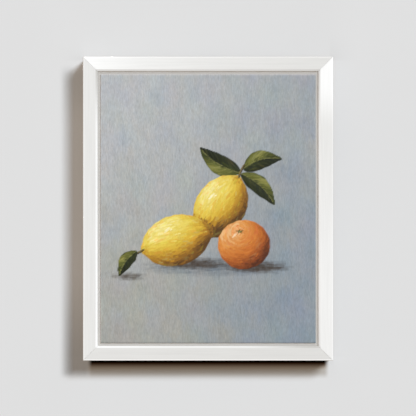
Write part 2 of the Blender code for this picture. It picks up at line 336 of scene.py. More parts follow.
def mount_paper():
    """Matt, light grey mount board, with painted light in strips where the lip and the panel shade it."""
    finish = Finish("mount_paper", {"Specular IOR Level": 0.15})
    x, _, z = finish.place.apart()
    pulp = finish.place.noise(0.0009, 5.0, 0.65)
    clouds = finish.place.noise(0.03, 2.0)
    past_lip = (x - (HALF_WIDTH - RAIL_WIDTH)).most(z - (MIDDLE_Z + HALF_HEIGHT - RAIL_WIDTH))
    by_lip = (past_lip + PAINTED_LIGHT_STRIP).step(-STRIP_EDGE, STRIP_EDGE)
    past_left = (x - (linen_low.x - PAINTED_LIGHT_STRIP)).least(linen_high.x - x)
    past_bottom = (z - (linen_low.z - PAINTED_LIGHT_STRIP)).least(linen_high.z - z)
    by_panel = past_left.least(past_bottom).step(-STRIP_EDGE, STRIP_EDGE)
    grey = clouds.blend(MOUNT_GREY, MOUNT_DARKER)
    colour = by_lip.most(by_panel).blend(grey, MOUNT_PAINTED_LIGHT).shaded(0.98 + 0.04 * pulp)
    return finish.patterned(colour, 0.86 + 0.1 * pulp, pulp, 0.00003)


def worn_metal(name, clean, dull, roughness, stretch):
    """Drawn or rolled metal: fine lines along it, and duller patches where it has been handled."""
    finish = Finish(name, {"Metallic": 1.0})
    lines = finish.place.stretched(*stretch).noise(0.00035, 3.0, 0.6)
    patches = finish.place.noise(0.0035, 5.0, 0.62, 0.4)
    spots = finish.place.noise(0.0009, 4.0, 0.7)
    tarnish = (0.7 * patches + 0.35 * spots).step(0.46, 0.68)
    colour = tarnish.blend(clean, dull).shaded(0.9 + 0.2 * lines)
    dulled = roughness + 0.22 * tarnish + 0.12 * lines
    return finish.patterned(colour, dulled, lines + 0.6 * spots, 0.000015)


RUBBER = mixed(74, 74, 73)
RUBBER_DUSTY = mixed(108, 106, 102)


def matt_rubber():
    """Moulded rubber with a fine, pitted skin and a little dust."""
    finish = Finish("bumper_rubber", {"Specular IOR Level": 0.35})
    skin = finish.place.cells(0.00035)
    dust = finish.place.noise(0.0016, 4.0, 0.6)
    colour = dust.step(0.45, 0.8).blend(RUBBER, RUBBER_DUSTY)
    return finish.patterned(colour, 0.62 + 0.2 * dust, skin + 0.5 * dust, 0.00004)


# ---------------------------------------------------------------- Finishes of the painting

THREAD_PITCH = 0.00055
LINEN_PALE = mixed(206, 192, 164)
LINEN_DARK = mixed(160, 142, 112)
EVEN_GREY = np.array((1.0, 1.0, 1.0))
COOL_GREY = np.array((0.965, 1.0, 1.04))
WARM_GREY = np.array((1.035, 1.0, 0.96))


def linen_weave(place):
    """Threads over and under each other, from 0 between them to 1 on top."""
    x, _, z = place.apart()
    threads = math.pi / THREAD_PITCH
    return 0.5 + 0.5 * ((x * threads).sine() * (z * threads).sine())


def linen_cloth():
    """Raw linen, with slubs in its weft."""
    finish = Finish("linen_cloth", {"Specular IOR Level": 0.2})
    threads = linen_weave(finish.place)
    slubs = finish.place.stretched(0.15, 1, 1).noise(0.0006, 4.0, 0.6)
    colour = (0.6 * threads + 0.6 * slubs).step(0.25, 0.95).blend(LINEN_DARK, LINEN_PALE)
    return finish.patterned(colour, 0.8 + 0.15 * slubs, threads + slubs, 0.00008)


def oil_paint():
    """Satin oil paint. Its colour is laid in by the brush, and its finest marks are drawn here."""
    finish = Finish("oil_paint", {"Specular IOR Level": 0.2})
    laid = finish.place.node("ShaderNodeAttribute", {"attribute_name": "paint"}, output="Color")
    ground = Wire(finish.tree, laid.socket.node.outputs["Alpha"])
    grain = finish.place.stretched(1, 1, 0.26).noise(0.00095, 3.0, 0.6, 0.3)
    hairs = finish.place.stretched(1, 1, 0.08).noise(0.0005, 2.0, 0.5)
    mottle = finish.place.noise(0.0012, 4.0, 0.6)
    hue = finish.place.stretched(1, 1, 0.45).noise(0.0065, 5.0, 0.85)
    streak = 0.62 * (grain - 0.5) + 0.14 * (hairs - 0.5)
    tint = ground.blend(EVEN_GREY, (0.5 + 2.6 * (hue - 0.5)).blend(COOL_GREY, WARM_GREY))
    colour = laid.times(tint).shaded(1 + (0.35 + 0.65 * ground) * streak)
    relief = ground * (grain + 0.5 * hairs) + 0.5 * mottle + 0.12 * linen_weave(finish.place)
    return finish.patterned(colour, 0.41 + 0.14 * mottle - 0.08 * grain, relief, 0.00006)


# ---------------------------------------------------------------- The picture, in millimetres

PICTURE_WIDTH = PAINTING_WIDTH / MM
PICTURE_HEIGHT = PAINTING_HEIGHT / MM
GOLDEN_ANGLE = math.pi * (3 - math.sqrt(5))
PICTURE_LIGHT = np.array((-0.5, 0.56, 0.66))  # across, up and towards the viewer, in the picture

GROUND_LIGHT = mixed(180, 183, 185)
GROUND_WARM = mixed(160, 160, 154)
GROUND_BLUE = mixed(133, 144, 155)
# a pale tone for the top and left edges, and painted shade for the bottom edge
EDGE_PALE = mixed(206, 199, 196)
BOTTOM_EDGE_SHADE = mixed(112, 114, 112)
LEMON_TONES = (
    (-0.30, mixed(84, 56, 24)),
    (-0.05, mixed(132, 90, 30)),
    (0.20, mixed(174, 127, 36)),
    (0.45, mixed(205, 165, 50)),
    (0.72, mixed(222, 194, 74)),
    (0.92, mixed(231, 211, 106)),
    (1.00, mixed(240, 226, 146)),
)
LEMON_ACCENTS = (mixed(214, 148, 44), mixed(194, 184, 60), mixed(158, 106, 38), mixed(236, 220, 130))
LEMON_SHINE = mixed(250, 242, 196)
TANGERINE_TONES = (
    (-0.30, mixed(80, 40, 20)),
    (-0.05, mixed(126, 64, 26)),
    (0.22, mixed(166, 88, 34)),
    (0.50, mixed(196, 112, 44)),
    (0.75, mixed(210, 132, 60)),
    (0.93, mixed(222, 158, 92)),
    (1.00, mixed(232, 184, 128)),
)
TANGERINE_ACCENTS = (mixed(220, 144, 52), mixed(142, 70, 30), mixed(202, 98, 56), mixed(226, 164, 106))
TANGERINE_SHINE = mixed(246, 214, 176)
LEAF_TONES = (
    (0.0, mixed(16, 20, 11)),
    (0.3, mixed(36, 42, 18)),
    (0.55, mixed(66, 72, 28)),
    (0.8, mixed(108, 110, 48)),
    (1.0, mixed(152, 148, 84)),
)
LEAF_ACCENTS = (mixed(124, 108, 40), mixed(62, 78, 60), mixed(22, 25, 16), mixed(146, 142, 70))
RIB_TONE = mixed(140, 138, 80)
BARK_DARK = mixed(58, 46, 26)
BARK_LIGHT = mixed(128, 112, 62)
COOL_SHADOW = mixed(92, 101, 111)
WARM_SHADOW = mixed(66, 54, 43)
GROUND_STROKES = 5200
BRISTLES = 2.2  # to a millimetre of the brush's width
DRIFT_WAVES = 14


def heading(angle):
    """One step in that direction, across and up."""
    return np.array((math.cos(angle), math.sin(angle)))


def measured_along(x, z, start, along, length, bow):
    """How far along a bowed line a place lies, as a share of its length, and how far to its left."""
    dx = x - start[0]
    dz = z - start[1]
    travel = (dx * along[0] + dz * along[1]) / length
    share = np.clip(travel, 0, 1)
    offset = dz * along[0] - dx * along[1] - bow * 4 * share * (1 - share)
    return travel, offset


def toned(ramp, light):
    """The colour that a ramp of (amount of light, colour) steps gives for each amount."""
    stops = [stop for stop, _ in ramp]
    channels = [np.interp(light, stops, [colour[i] for _, colour in ramp]) for i in range(3)]
    return np.stack(channels, -1)


class Canvas:
    """The colour, and the thickness in millimetres, of the paint at each point of the film's grid."""

    def __init__(self, across, up, rng):
        self.across = across
        self.up = up
        self.rng = rng
        self.x, self.z = np.meshgrid(across, up)
        self.colour = np.zeros(self.x.shape + (3,))
        self.thickness = np.zeros(self.x.shape)
        self.ground = np.ones(self.x.shape)
        self.waver = drifting(rng, self.x, self.z, 5.0)

    def read(self, x, z):
        """The paint's thickness, its colour and the share of bare ground, at any places on the grid."""
        column = np.interp(x, self.across, np.arange(len(self.across)))
        row = np.interp(z, self.up, np.arange(len(self.up)))
        left = np.minimum(column.astype(int), len(self.across) - 2)
        low = np.minimum(row.astype(int), len(self.up) - 2)
        right = (column - left)[:, None]
        top = (row - low)[:, None]
        layers = np.dstack((self.thickness, self.colour, self.ground))
        lower = layers[low, left] * (1 - right) + layers[low, left + 1] * right
        upper = layers[low + 1, left] * (1 - right) + layers[low + 1, left + 1] * right
        found = lower * (1 - top) + upper * top
        return found[:, 0], found[:, 1:4], found[:, 4]

    def fill(self, colour, mask):
        """Thin paint all over a shape."""
        self.colour += mask[..., None] * (colour - self.colour)

    def stroke(self, start, end, width, colour, cover=0.9, body=0.06, bow=0.0, inside=None, dry=0.4):
        """One pull of the brush from start to end, which bows sideways and shows its bristles."""
        start = np.array(start)
        end = np.array(end)
        length = float(np.hypot(*(end - start)))
        along = (end - start) / length
        reach = width / 2 + abs(bow) + 0.5
        low = np.minimum(start, end) - reach
        high = np.maximum(start, end) + reach
        rows = slice(*np.searchsorted(self.up, (low[1], high[1])))
        columns = slice(*np.searchsorted(self.across, (low[0], high[0])))
        here = rows, columns
        if self.x[here].size == 0:
            return
        travel, offset = measured_along(self.x[here], self.z[here], start, along, length, bow)
        share = np.clip(travel, 0, 1)
        side = 2 * offset / (width * (1 - 0.3 * (2 * share - 1) ** 4))
        bristle_count = max(5, int(width * BRISTLES))
        bristles = np.interp(side, np.linspace(-1.1, 1.1, bristle_count), self.rng.random(bristle_count))
        ragged = travel + (bristles - 0.5) * 1.6 / length
        fade = 0.7 / length
        amount = smooth(-fade, fade, ragged) * (1 - smooth(1 - fade, 1 + fade, ragged))
        amount *= 1 - smooth(0.72, 1.05, np.abs(side))
        amount *= np.clip(1.3 - dry * (share + 0.4) * (1.6 - 1.6 * bristles), 0, 1) * cover
        if inside is not None:
            amount *= inside[here]
            self.ground[here] *= 1 - amount
        streaked = colour * (1 + 0.12 * (bristles - 0.5))[..., None]
        self.colour[here] += amount[..., None] * (streaked - self.colour[here])
        rim = np.exp(-(((np.abs(side) - 0.85) / 0.16) ** 2))
        laid = self.thickness[here] * 0.45 + body * (0.45 + 0.75 * bristles + 0.35 * rim)
        self.thickness[here] += amount * (laid - self.thickness[here])

    def dab(self, spot, size, angle, colour, **manner):
        """One short touch of the brush, centred on its spot."""
        half = heading(angle) * size * 0.8
        self.stroke(spot - half, spot + half, size, colour, **manner)


def drifting(rng, x, z, size):
    """A soft field around 0 whose patches are about that size across."""
    field = np.zeros(np.broadcast(x, z).shape)
    for _ in range(DRIFT_WAVES):
        turn = rng.uniform(0, 2 * math.pi)
        pitch = 2 * math.pi / (size * rng.uniform(1.2, 3.0))
        field += np.cos(pitch * (math.cos(turn) * x + math.sin(turn) * z) + rng.uniform(0, 2 * math.pi))
    return field / math.sqrt(DRIFT_WAVES)


def varied(rng, tone, accents, chance=0.25):
    """A brushful of that tone, now and then with another colour of like lightness worked into it."""
    tone = tone * (1 + rng.normal(0, 0.035))
    accent = accents[rng.integers(len(accents))]
    accent = accent * (0.35 + 0.65 * tone.sum() / accent.sum())
    share = rng.uniform(0.2, 0.5) if rng.random() < chance else 0.0
    return tone * (1 - share) + accent * share


def ground_tones(seed, x, z):
    """The wet-in-wet grey of the ground: light at the upper left, warm below it and blue to the right."""
    warmer, lighter, greener = [
        drifting(np.random.default_rng(seed + i), x, z, size) for i, size in enumerate((16, 22, 18))
    ]
    right = x / PICTURE_WIDTH + 0.5
    low = 0.5 - z / PICTURE_HEIGHT
    blue = np.clip(smooth(0.1, 1.0, right) * (0.42 + 0.6 * low) - 0.14 * warmer, 0, 1)
    warm = (0.95 * smooth(0, 1, low) + 0.46 * right * (1 - low) + 0.14 * warmer) * (1 - blue)
    warm = np.clip(warm, 0, 1)
    light = 1 - blue - warm
    tone = light[..., None] * GROUND_LIGHT + warm[..., None] * GROUND_WARM + blue[..., None] * GROUND_BLUE
    green = 0.010 * greener
    return tone * np.stack((1 - green, 1 + green, 1 - green), -1) * (1 + 0.016 * lighter)[..., None]


def paint_ground(canvas):
    """Upright strokes, laid over each other while wet.

    Then a pale strip goes along the top and left edges, and painted shade along the bottom edge.
    """
    rng = canvas.rng
    x = rng.uniform(-0.52, 0.52, GROUND_STROKES) * PICTURE_WIDTH
    z = rng.uniform(-0.54, 0.54, GROUND_STROKES) * PICTURE_HEIGHT
    seed = int(rng.integers(1000))
    canvas.colour[:] = ground_tones(seed, canvas.x, canvas.z)
    tones = ground_tones(seed, x, z)
    for i in range(GROUND_STROKES):
        length = rng.uniform(6, 24)
        lean = rng.normal(0, 0.09) * length
        start = (x[i] - lean / 2, z[i] + length / 2)
        end = (x[i] + lean / 2, z[i] - length / 2)
        tone = tones[i] * (1 + rng.normal(0, 0.03))
        width = rng.uniform(1.6, 4.6)
        bow = rng.normal(0, 0.4)
        canvas.stroke(start, end, width, tone, cover=0.55, body=0.04, bow=bow, dry=0.7)
    below_top = PICTURE_HEIGHT / 2 - canvas.z
    above_bottom = PICTURE_HEIGHT / 2 + canvas.z
    from_left = PICTURE_WIDTH / 2 + canvas.x
    # a pale strip along the top and left edges, and painted shade along the bottom edge
    canvas.fill(EDGE_PALE, 0.65 * np.exp(-((below_top / 0.9) ** 2)))
    canvas.fill(EDGE_PALE, 0.60 * np.exp(-((from_left / 0.5) ** 2)))
    canvas.fill(BOTTOM_EDGE_SHADE, 0.45 * np.exp(-((above_bottom / 1.0) ** 2)))


class Fruit:
    """A round or pointed fruit: where it lies, which way it points, and how light falls on it."""

    def __init__(self, centre, long, short, tilt, tips=(0.0, 0.0), pole=None, in_front=()):
        self.centre = np.array(centre, float)
        self.long = long
        self.short = short
        self.turn = math.cos(math.radians(tilt)), math.sin(math.radians(tilt))
        self.tips = tips
        self.pole = pole  # where the stalk was, on a round fruit
        self.in_front = in_front  # the fruits whose shadow falls on this one

    def edge(self, angle):
        """From the middle to the edge: an oval, drawn out to a tip at each end."""
        oval = self.long * self.short / np.hypot(self.short * np.cos(angle), self.long * np.sin(angle))
        front = np.abs(np.angle(np.exp(1j * angle)))
        tip = self.tips[0] * np.exp(-((front / 0.17) ** 2))
        neck = self.tips[1] * np.exp(-(((math.pi - front) / 0.20) ** 2))
        return oval + tip + neck

    def local(self, x, z):
        """A place in the picture, measured along and across the fruit from its middle."""
        dx = x - self.centre[0]
        dz = z - self.centre[1]
        c, s = self.turn
        return c * dx + s * dz, c * dz - s * dx

    def world(self, a, b):
        """The other way round: where in the picture a place on the fruit is."""
        c, s = self.turn
        return self.centre + np.array((c * a - s * b, s * a + c * b))

    def beyond(self, x, z):
        """How far outside the fruit's edge a place is, measured from its middle."""
        a, b = self.local(x, z)
        return np.hypot(a, b) - self.edge(np.arctan2(b, a))

    def mask(self, canvas):
        """1 on the fruit and 0 off it, with an edge that wavers as the brush did."""
        return 1 - smooth(-0.55, 0.55, self.beyond(canvas.x, canvas.z) + 0.28 * canvas.waver)

    def light(self, x, z):
        """How squarely the picture's light meets the fruit there, with some bounced back from below."""
        a, b = self.local(x, z)
        reach = np.minimum(np.hypot(a, b) / self.edge(np.arctan2(b, a)), 0.995)
        na = a / self.long**2
        nb = b / self.short**2
        size = np.maximum(np.hypot(na, nb), 1e-6)
        c, s = self.turn
        nx = (c * na - s * nb) / size * reach
        nz = (s * na + c * nb) / size * reach
        ny = np.sqrt(1 - reach**2)
        lit = nx * PICTURE_LIGHT[0] + nz * PICTURE_LIGHT[1] + ny * PICTURE_LIGHT[2]
        lit += 0.36 * np.clip(0.35 * nx - 0.8 * nz, 0, 1) * smooth(0.82, 1.0, reach)
        for other in self.in_front:
            lit -= 0.62 * np.exp(-np.clip(other.beyond(x - 2.5, z + 2.5), 0, 60) / 4.5)
        return lit

    def flow(self, a, b, length):
        """Which way a stroke runs at a place, and its bow: round the pole, or from tip to tip."""
        if self.pole:
            across, up = np.array((a, b)) - self.pole
            radius = max(np.hypot(across, up), 6.0)
            return math.atan2(up, across) + math.pi / 2, -(length**2) / (8 * radius)
        slope = -b * a / max(self.long**2 - a * a, 40.0)
        return math.atan(slope), 0.06 * length * b / self.short


FRUIT_LAYERS = (  # square millimetres to a stroke, its width and length, its spread of light and its body
    (7.0, 5.0, 13.0, 0.06, 0.08),
    (3.4, 2.7, 8.0, 0.06, 0.12),
    (6.0, 1.6, 4.5, 0.09, 0.15),
)
PORE_AREA = 5  # square millimetres to a pore
SHINE_SPOTS = (  # how far across and up from the fruit's middle, in half widths, and how large
    (-0.36, 0.42, 2.6),
    (-0.28, 0.50, 1.8),
    (-0.44, 0.33, 1.6),
    (-0.20, 0.44, 1.4),
)
CALYX_SLANT = (1, 0.62)  # the calyx is seen from one side, which flattens it
LEAF_LAYERS = ((1.6, 3.4, 0.08), (2.6, 1.7, 0.13))  # strokes to a millimetre, their width and their body


def paint_fruit(canvas, fruit, tones, accents, shine):
    """Lays in the whole form, works over it with smaller strokes, then sets the pores and the shine."""
    rng = canvas.rng
    mask = fruit.mask(canvas)
    canvas.fill(toned(tones, fruit.light(canvas.x, canvas.z)), mask)
    area = fruit.long * fruit.short
    for to_stroke, width, reach, spread, body in FRUIT_LAYERS:
        count = int(area / to_stroke)
        for i in rng.permutation(count):
            angle = i * GOLDEN_ANGLE
            a, b = fruit.edge(angle) * math.sqrt((i + 0.5) / count) * heading(angle)
            length = reach * rng.uniform(0.7, 1.3)
            direction, bow = fruit.flow(a, b, length)
            direction += rng.normal(0, 0.16)
            half = heading(direction) * length / 2
            tone = toned(tones, fruit.light(*fruit.world(a, b)) + rng.normal(0, spread))
            canvas.stroke(
                fruit.world(a - half[0], b - half[1]),
                fruit.world(a + half[0], b + half[1]),
                width * rng.uniform(0.75, 1.25),
                varied(rng, tone, accents),
                body=body,
                bow=bow,
                inside=mask,
            )
    for _ in range(int(area / PORE_AREA)):
        angle = rng.uniform(0, 2 * math.pi)
        spot = fruit.world(*(fruit.edge(angle) * math.sqrt(rng.random()) * heading(angle)))
        tone = toned(tones, fruit.light(*spot) + rng.choice((-0.13, 0.12)))
        size = rng.uniform(0.8, 1.3)
        canvas.dab(spot, size, rng.uniform(0, math.pi), tone, cover=0.5, body=0.06, inside=mask)
    for across, up, size in SHINE_SPOTS:
        spot = fruit.centre + fruit.short * np.array((across, up))
        canvas.dab(spot, size, rng.normal(0.5, 0.3), shine, cover=0.85, body=0.24, inside=mask, dry=0.6)


def paint_tip(canvas, fruit, end):
    """The rough, darker skin round one end of a lemon."""
    rng = canvas.rng
    mask = fruit.mask(canvas)
    far = fruit.edge(0 if end > 0 else math.pi)
    for _ in range(16):
        out = end * (far - rng.uniform(0.5, 7.5))
        spot = fruit.world(out, rng.uniform(-0.16, 0.16) * fruit.short)
        tone = toned(LEMON_TONES, fruit.light(*spot) - 0.25)
        size = rng.uniform(1.0, 1.8)
        canvas.dab(spot, size, rng.uniform(0, math.pi), tone, cover=0.6, body=0.12, inside=mask)


def paint_calyx(canvas, fruit):
    """The dimple and the dry green star where a tangerine's stalk was."""
    rng = canvas.rng
    mask = fruit.mask(canvas)
    for i in range(13):
        angle = i * GOLDEN_ANGLE
        ray = heading(angle) * CALYX_SLANT
        start = fruit.world(*(fruit.pole + ray * 2.2))
        end = fruit.world(*(fruit.pole + ray * rng.uniform(5.0, 8.5)))
        tone = toned(TANGERINE_TONES, fruit.light(*end) - rng.uniform(0.08, 0.30))
        canvas.stroke(start, end, 1.3, tone, cover=0.6, body=0.10, inside=mask)
    for i in range(5):
        angle = 0.4 + i * 2 * math.pi / 5
        ray = heading(angle) * CALYX_SLANT
        end = fruit.world(*(fruit.pole + ray * 3.4))
        tone = toned(LEAF_TONES, rng.uniform(0.2, 0.7))
        canvas.stroke(fruit.world(*fruit.pole), end, 1.5, tone, body=0.14)
    canvas.dab(fruit.world(*fruit.pole), 1.3, 0.4, toned(LEAF_TONES, 0.95), body=0.18)


def cast_shadow(canvas, centre, long, short, colour, strength):
    """A soft shadow on what the fruit stands on, in strokes that lie flat."""
    rng = canvas.rng
    count = int(long * short / 4)
    for i in range(count):
        angle = i * GOLDEN_ANGLE
        out = math.sqrt((i + 0.5) / count)
        x = centre[0] + long * out * math.cos(angle)
        z = centre[1] + short * out * math.sin(angle)
        half = rng.uniform(3.5, 8)
        canvas.stroke(
            (x - half, z),
            (x + half, z + rng.normal(0, 0.8)),
            rng.uniform(2.0, 4.2),
            colour * (1 + rng.normal(0, 0.06)),
            cover=strength * (1 - out**2) ** 0.8,
            body=0.04,
            dry=0.3,
        )


class Leaf:
    """A leaf from its stalk to its tip, with a bowed midrib."""

    def __init__(self, base, tip, width, bow, lit_side):
        self.base = np.array(base, float)
        self.tip = np.array(tip, float)
        self.width = width
        self.bow = bow
        self.lit_side = lit_side
        self.length = float(np.hypot(*(self.tip - self.base)))
        self.along = (self.tip - self.base) / self.length

    def local(self, x, z):
        """A place in the picture, measured along the midrib and out from it."""
        return measured_along(x, z, self.base, self.along, self.length, self.bow)

    def world(self, travel, offset):
        """The other way round: where in the picture a place on the leaf is."""
        offset = offset + self.bow * 4 * travel * (1 - travel)
        x = self.base[0] + self.along[0] * travel * self.length - self.along[1] * offset
        z = self.base[1] + self.along[1] * travel * self.length + self.along[0] * offset
        return np.array((x, z))

    def half(self, travel):
        """Half the leaf's width there: full before the middle, and drawn out to a point."""
        share = np.clip(travel, 0, 1)
        return self.width / 2 * np.sin(math.pi * share**0.82) ** 0.85 * (1 - 0.15 * share)

    def mask(self, canvas):
        """1 on the leaf and 0 off it, with an edge that wavers as the brush did."""
        travel, offset = self.local(canvas.x, canvas.z)
        beyond = np.abs(offset) - self.half(travel) + 0.25 * canvas.waver
        return (1 - smooth(-0.45, 0.45, beyond)) * smooth(0, 0.03, travel) * (1 - smooth(0.97, 1, travel))

    def light(self, travel, offset):
        """How light the leaf is there: one half turns from the light, and the other catches a sheen."""
        side = offset / np.maximum(self.half(travel), 0.5) * self.lit_side
        fold = 0.42 + 0.25 * np.tanh(2.2 * side)
        sheen = 0.30 * np.exp(-(((travel - 0.42) / 0.20) ** 2) - ((side - 0.55) / 0.30) ** 2)
        return fold + sheen - 0.12 * side * (side > 0) + 0.09 * np.sin(travel * 5.0 + 0.6)


def paint_leaf(canvas, leaf):
    """The two halves in strokes that run out from the midrib, then the midrib and the side veins."""
    rng = canvas.rng
    mask = leaf.mask(canvas)
    travel, offset = leaf.local(canvas.x, canvas.z)
    canvas.fill(toned(LEAF_TONES, leaf.light(travel, offset) - 0.1), mask)
    for to_length, width, body in LEAF_LAYERS:
        count = int(leaf.length * to_length)
        for i in rng.permutation(count):
            travel = (i + rng.random()) / count * 0.98
            side = 1 if i % 2 else -1
            half = float(leaf.half(travel))
            inner = rng.uniform(0.0, 0.55)
            outer = rng.uniform(inner + 0.25, 1.05)
            start = leaf.world(travel - 0.02, side * inner * half)
            end = leaf.world(min(travel + rng.uniform(0.12, 0.26), 1.0), side * half * outer)
            light = leaf.light(travel, side * half * (inner + outer) / 2) + rng.normal(0, 0.07)
            tone = varied(rng, toned(LEAF_TONES, light), LEAF_ACCENTS)
            canvas.stroke(start, end, width, tone, cover=0.7, body=body, bow=side * 0.6, inside=mask)
    for i in range(12):
        travel = 0.08 + 0.066 * i
        side = 1 if i % 2 else -1
        half = float(leaf.half(travel + 0.12))
        start = leaf.world(travel, 0)
        end = leaf.world(travel + 0.16, side * half * rng.uniform(0.65, 0.9))
        tone = toned(LEAF_TONES, leaf.light(travel, side * half * 0.5) + 0.17)
        canvas.stroke(start, end, 0.8, tone, cover=0.4, body=0.10, bow=side * 0.5, inside=mask)
    for i in range(5):
        travel = 0.19 * i
        tone = RIB_TONE * rng.uniform(0.6, 1.1)
        start = leaf.world(travel, rng.uniform(-0.2, 0.2))
        end = leaf.world(travel + 0.17, 0)
        canvas.stroke(start, end, 0.9, tone, cover=0.6, body=0.12, bow=0.1 * leaf.bow)


def paint_twig(canvas, start, end):
    """A short stalk, dark underneath and pale on the side towards the light."""
    canvas.stroke(start, end, 2.6, BARK_DARK, body=0.16, bow=0.6, dry=0.2)
    shift = np.array((-0.5, 0.3))
    canvas.stroke(start + shift, end + shift, 1.2, BARK_LIGHT, cover=0.8, body=0.2, bow=0.6)


def paint_picture(across, up):
    """Two lemons with leaves on their stalks, and a tangerine, on a blue-grey ground."""
    canvas = Canvas(across, up, np.random.default_rng(11))
    paint_ground(canvas)
    tangerine = Fruit((34, -34), 24.5, 23, 0, pole=(-4.0, 12.5))
    lemon_left = Fruit((-30, -30), 32, 23.5, 196, (2.5, 6.5))
    lemon_back = Fruit((12, 2), 31, 23.5, 58, (2.5, 6.0), in_front=(lemon_left, tangerine))
    cast_shadow(canvas, (8, -55), 76, 9, COOL_SHADOW, 0.34)
    cast_shadow(canvas, (-14, -52), 36, 5.5, WARM_SHADOW, 0.62)
    cast_shadow(canvas, (46, -55), 30, 5.5, WARM_SHADOW, 0.66)
    cast_shadow(canvas, (-75, -64), 14, 3.5, WARM_SHADOW, 0.50)
    paint_leaf(canvas, Leaf((31, 34), (-8, 58), 20, 4.0, 1))
    paint_leaf(canvas, Leaf((33, 37), (70, 47), 19, 4.5, 1))
    paint_fruit(canvas, lemon_back, LEMON_TONES, LEMON_ACCENTS, LEMON_SHINE)
    paint_tip(canvas, lemon_back, 1)
    paint_twig(canvas, np.array((28.8, 28.6)), np.array((34.6, 41.5)))
    paint_leaf(canvas, Leaf((31, 33), (63, 3), 18, 4.0, 1))
    paint_fruit(canvas, lemon_left, LEMON_TONES, LEMON_ACCENTS, LEMON_SHINE)
    paint_tip(canvas, lemon_left, 1)
    paint_tip(canvas, lemon_left, -1)
    paint_fruit(canvas, tangerine, TANGERINE_TONES, TANGERINE_ACCENTS, TANGERINE_SHINE)
    paint_calyx(canvas, tangerine)
    paint_twig(canvas, np.array((-60.5, -38.5)), np.array((-70.0, -43.0)))
    paint_leaf(canvas, Leaf((-67, -40), (-84, -64), 14, -3.0, -1))
    return canvas


# ---------------------------------------------------------------- The linen and the coat of paint

COLUMNS = 270  # of the grid that carries the strokes
ROWS = 336
CLOSENESS = 0.3  # how much closer the grid's lines lie in the middle than on average
COAT_BASE_Y = linen_low.y  # the coat's front, before its strokes are raised
RIM_DEPTH = 0.0004  # how far the coat turns back over the cloth's cut edge
RIM_WIDTH = 0.0002  # how thick it is there
RIM_RADIUS = 0.00034  # how round its front edge is
RIM_STEPS = 3
HOLLOW = 0.0003  # how deep the coat is hollowed out behind, where the cloth fills it
LINEN_INSET = 0.0003  # how far inside the coat's edge the cloth was cut
LINEN_THICKNESS = 0.00028
LINEN_COLUMNS = 60
LINEN_ROWS = 76
FRAY = 0.00012  # how far the cut wavers
MAP_MARGIN = 0.02  # the share of the map that stays free on each side
MAP_RING = 0.004  # how much further out the rim's sides lie on it


def spaced(share, span):
    """Where a share of the way across the film lies: lines are closer in the middle than at the edges."""
    return span * (share - 0.5 + CLOSENESS / (2 * math.pi) * np.sin(2 * math.pi * share))


def move_points(mesh, places):
    """Puts each point of a mesh in its place."""
    mesh.vertices.foreach_set("co", places.astype(np.float32).ravel())
    mesh.update()


def points_of(mesh):
    """The places of a mesh's points, one to a row."""
    places = np.empty(len(mesh.vertices) * 3, np.float32)
    mesh.vertices.foreach_get("co", places)
    return places.reshape(-1, 3).astype(float)


def added(name, data):
    """A new object in the scene, made of that mesh, lamp or camera."""
    thing = bpy.data.objects.new(name, data)
    bpy.context.scene.collection.objects.link(thing)
    return thing


def shaped(name, shape, finish):
    """A new object in the scene, made from a bmesh that stands where the object will."""
    mesh = bpy.data.meshes.new(name)
    shape.to_mesh(mesh)
    shape.free()
    mesh.materials.append(finish)
    return added(name, mesh)


def new_piece(name, shape, finish):
    """A new piece of the painting, which moves with the frame."""
    piece = shaped(name, shape, finish)
    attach(piece, "root")
    return piece


def upright_grid(columns, rows):
    """A unit grid that stands in the plane of the picture and faces the viewer."""
    shape = bmesh.new()
    bmesh.ops.create_grid(shape, x_segments=columns, y_segments=rows, size=0.5)
    for point in shape.verts:
        point.co = (point.co.x, 0, point.co.y)
    bmesh.ops.recalc_face_normals(shape, faces=shape.faces)
    if next(iter(shape.faces)).normal.y > 0:
        bmesh.ops.reverse_faces(shape, faces=shape.faces)
    return shape


def pushed_out(shape, edges, inset, depth):
    """Extrudes a closed loop of edges: inwards by inset, and back by depth. Gives the new loop."""
    grown = bmesh.ops.extrude_edge_only(shape, edges=edges)["geom"]
    loop = [item for item in grown if isinstance(item, bmesh.types.BMEdge) and item.is_boundary]
    side_x = PAINTING_WIDTH / 2 - RIM_WIDTH - inset
    end_z = PAINTING_HEIGHT / 2 - RIM_WIDTH - inset
    for point in {point for edge in loop for point in edge.verts}:
        rise = point.co.z - MIDDLE_Z
        if abs(point.co.x) > side_x:
            point.co.x -= math.copysign(inset, point.co.x)
        if abs(rise) > end_z:
            point.co.z -= math.copysign(inset, rise)
        point.co.y += depth
    return loop


def paint_film(canvas):
    """The coat of paint: a thin lid over the linen, with a rounded rim and every stroke in relief."""
    shape = upright_grid(COLUMNS, ROWS)
    for point in shape.verts:
        point.co.x = spaced(point.co.x + 0.5, PAINTING_WIDTH)
        point.co.z = MIDDLE_Z + spaced(point.co.z + 0.5, PAINTING_HEIGHT)
        point.co.y = COAT_BASE_Y
    rim = [edge for edge in shape.edges if edge.is_boundary]
    loop = pushed_out(shape, rim, 0.0, RIM_DEPTH)
    loop = pushed_out(shape, loop, RIM_WIDTH, 0.0)
    loop = pushed_out(shape, loop, 0.0, -HOLLOW)
    bmesh.ops.contextual_create(shape, geom=loop)
    bmesh.ops.bevel(
        shape, geom=rim, offset=RIM_RADIUS, segments=RIM_STEPS, affect="EDGES", profile=0.5, material=-1
    )
    bmesh.ops.recalc_face_normals(shape, faces=shape.faces)
    piece = new_piece("paint_film", shape, oil_paint())
    dress_film(piece.data, canvas)


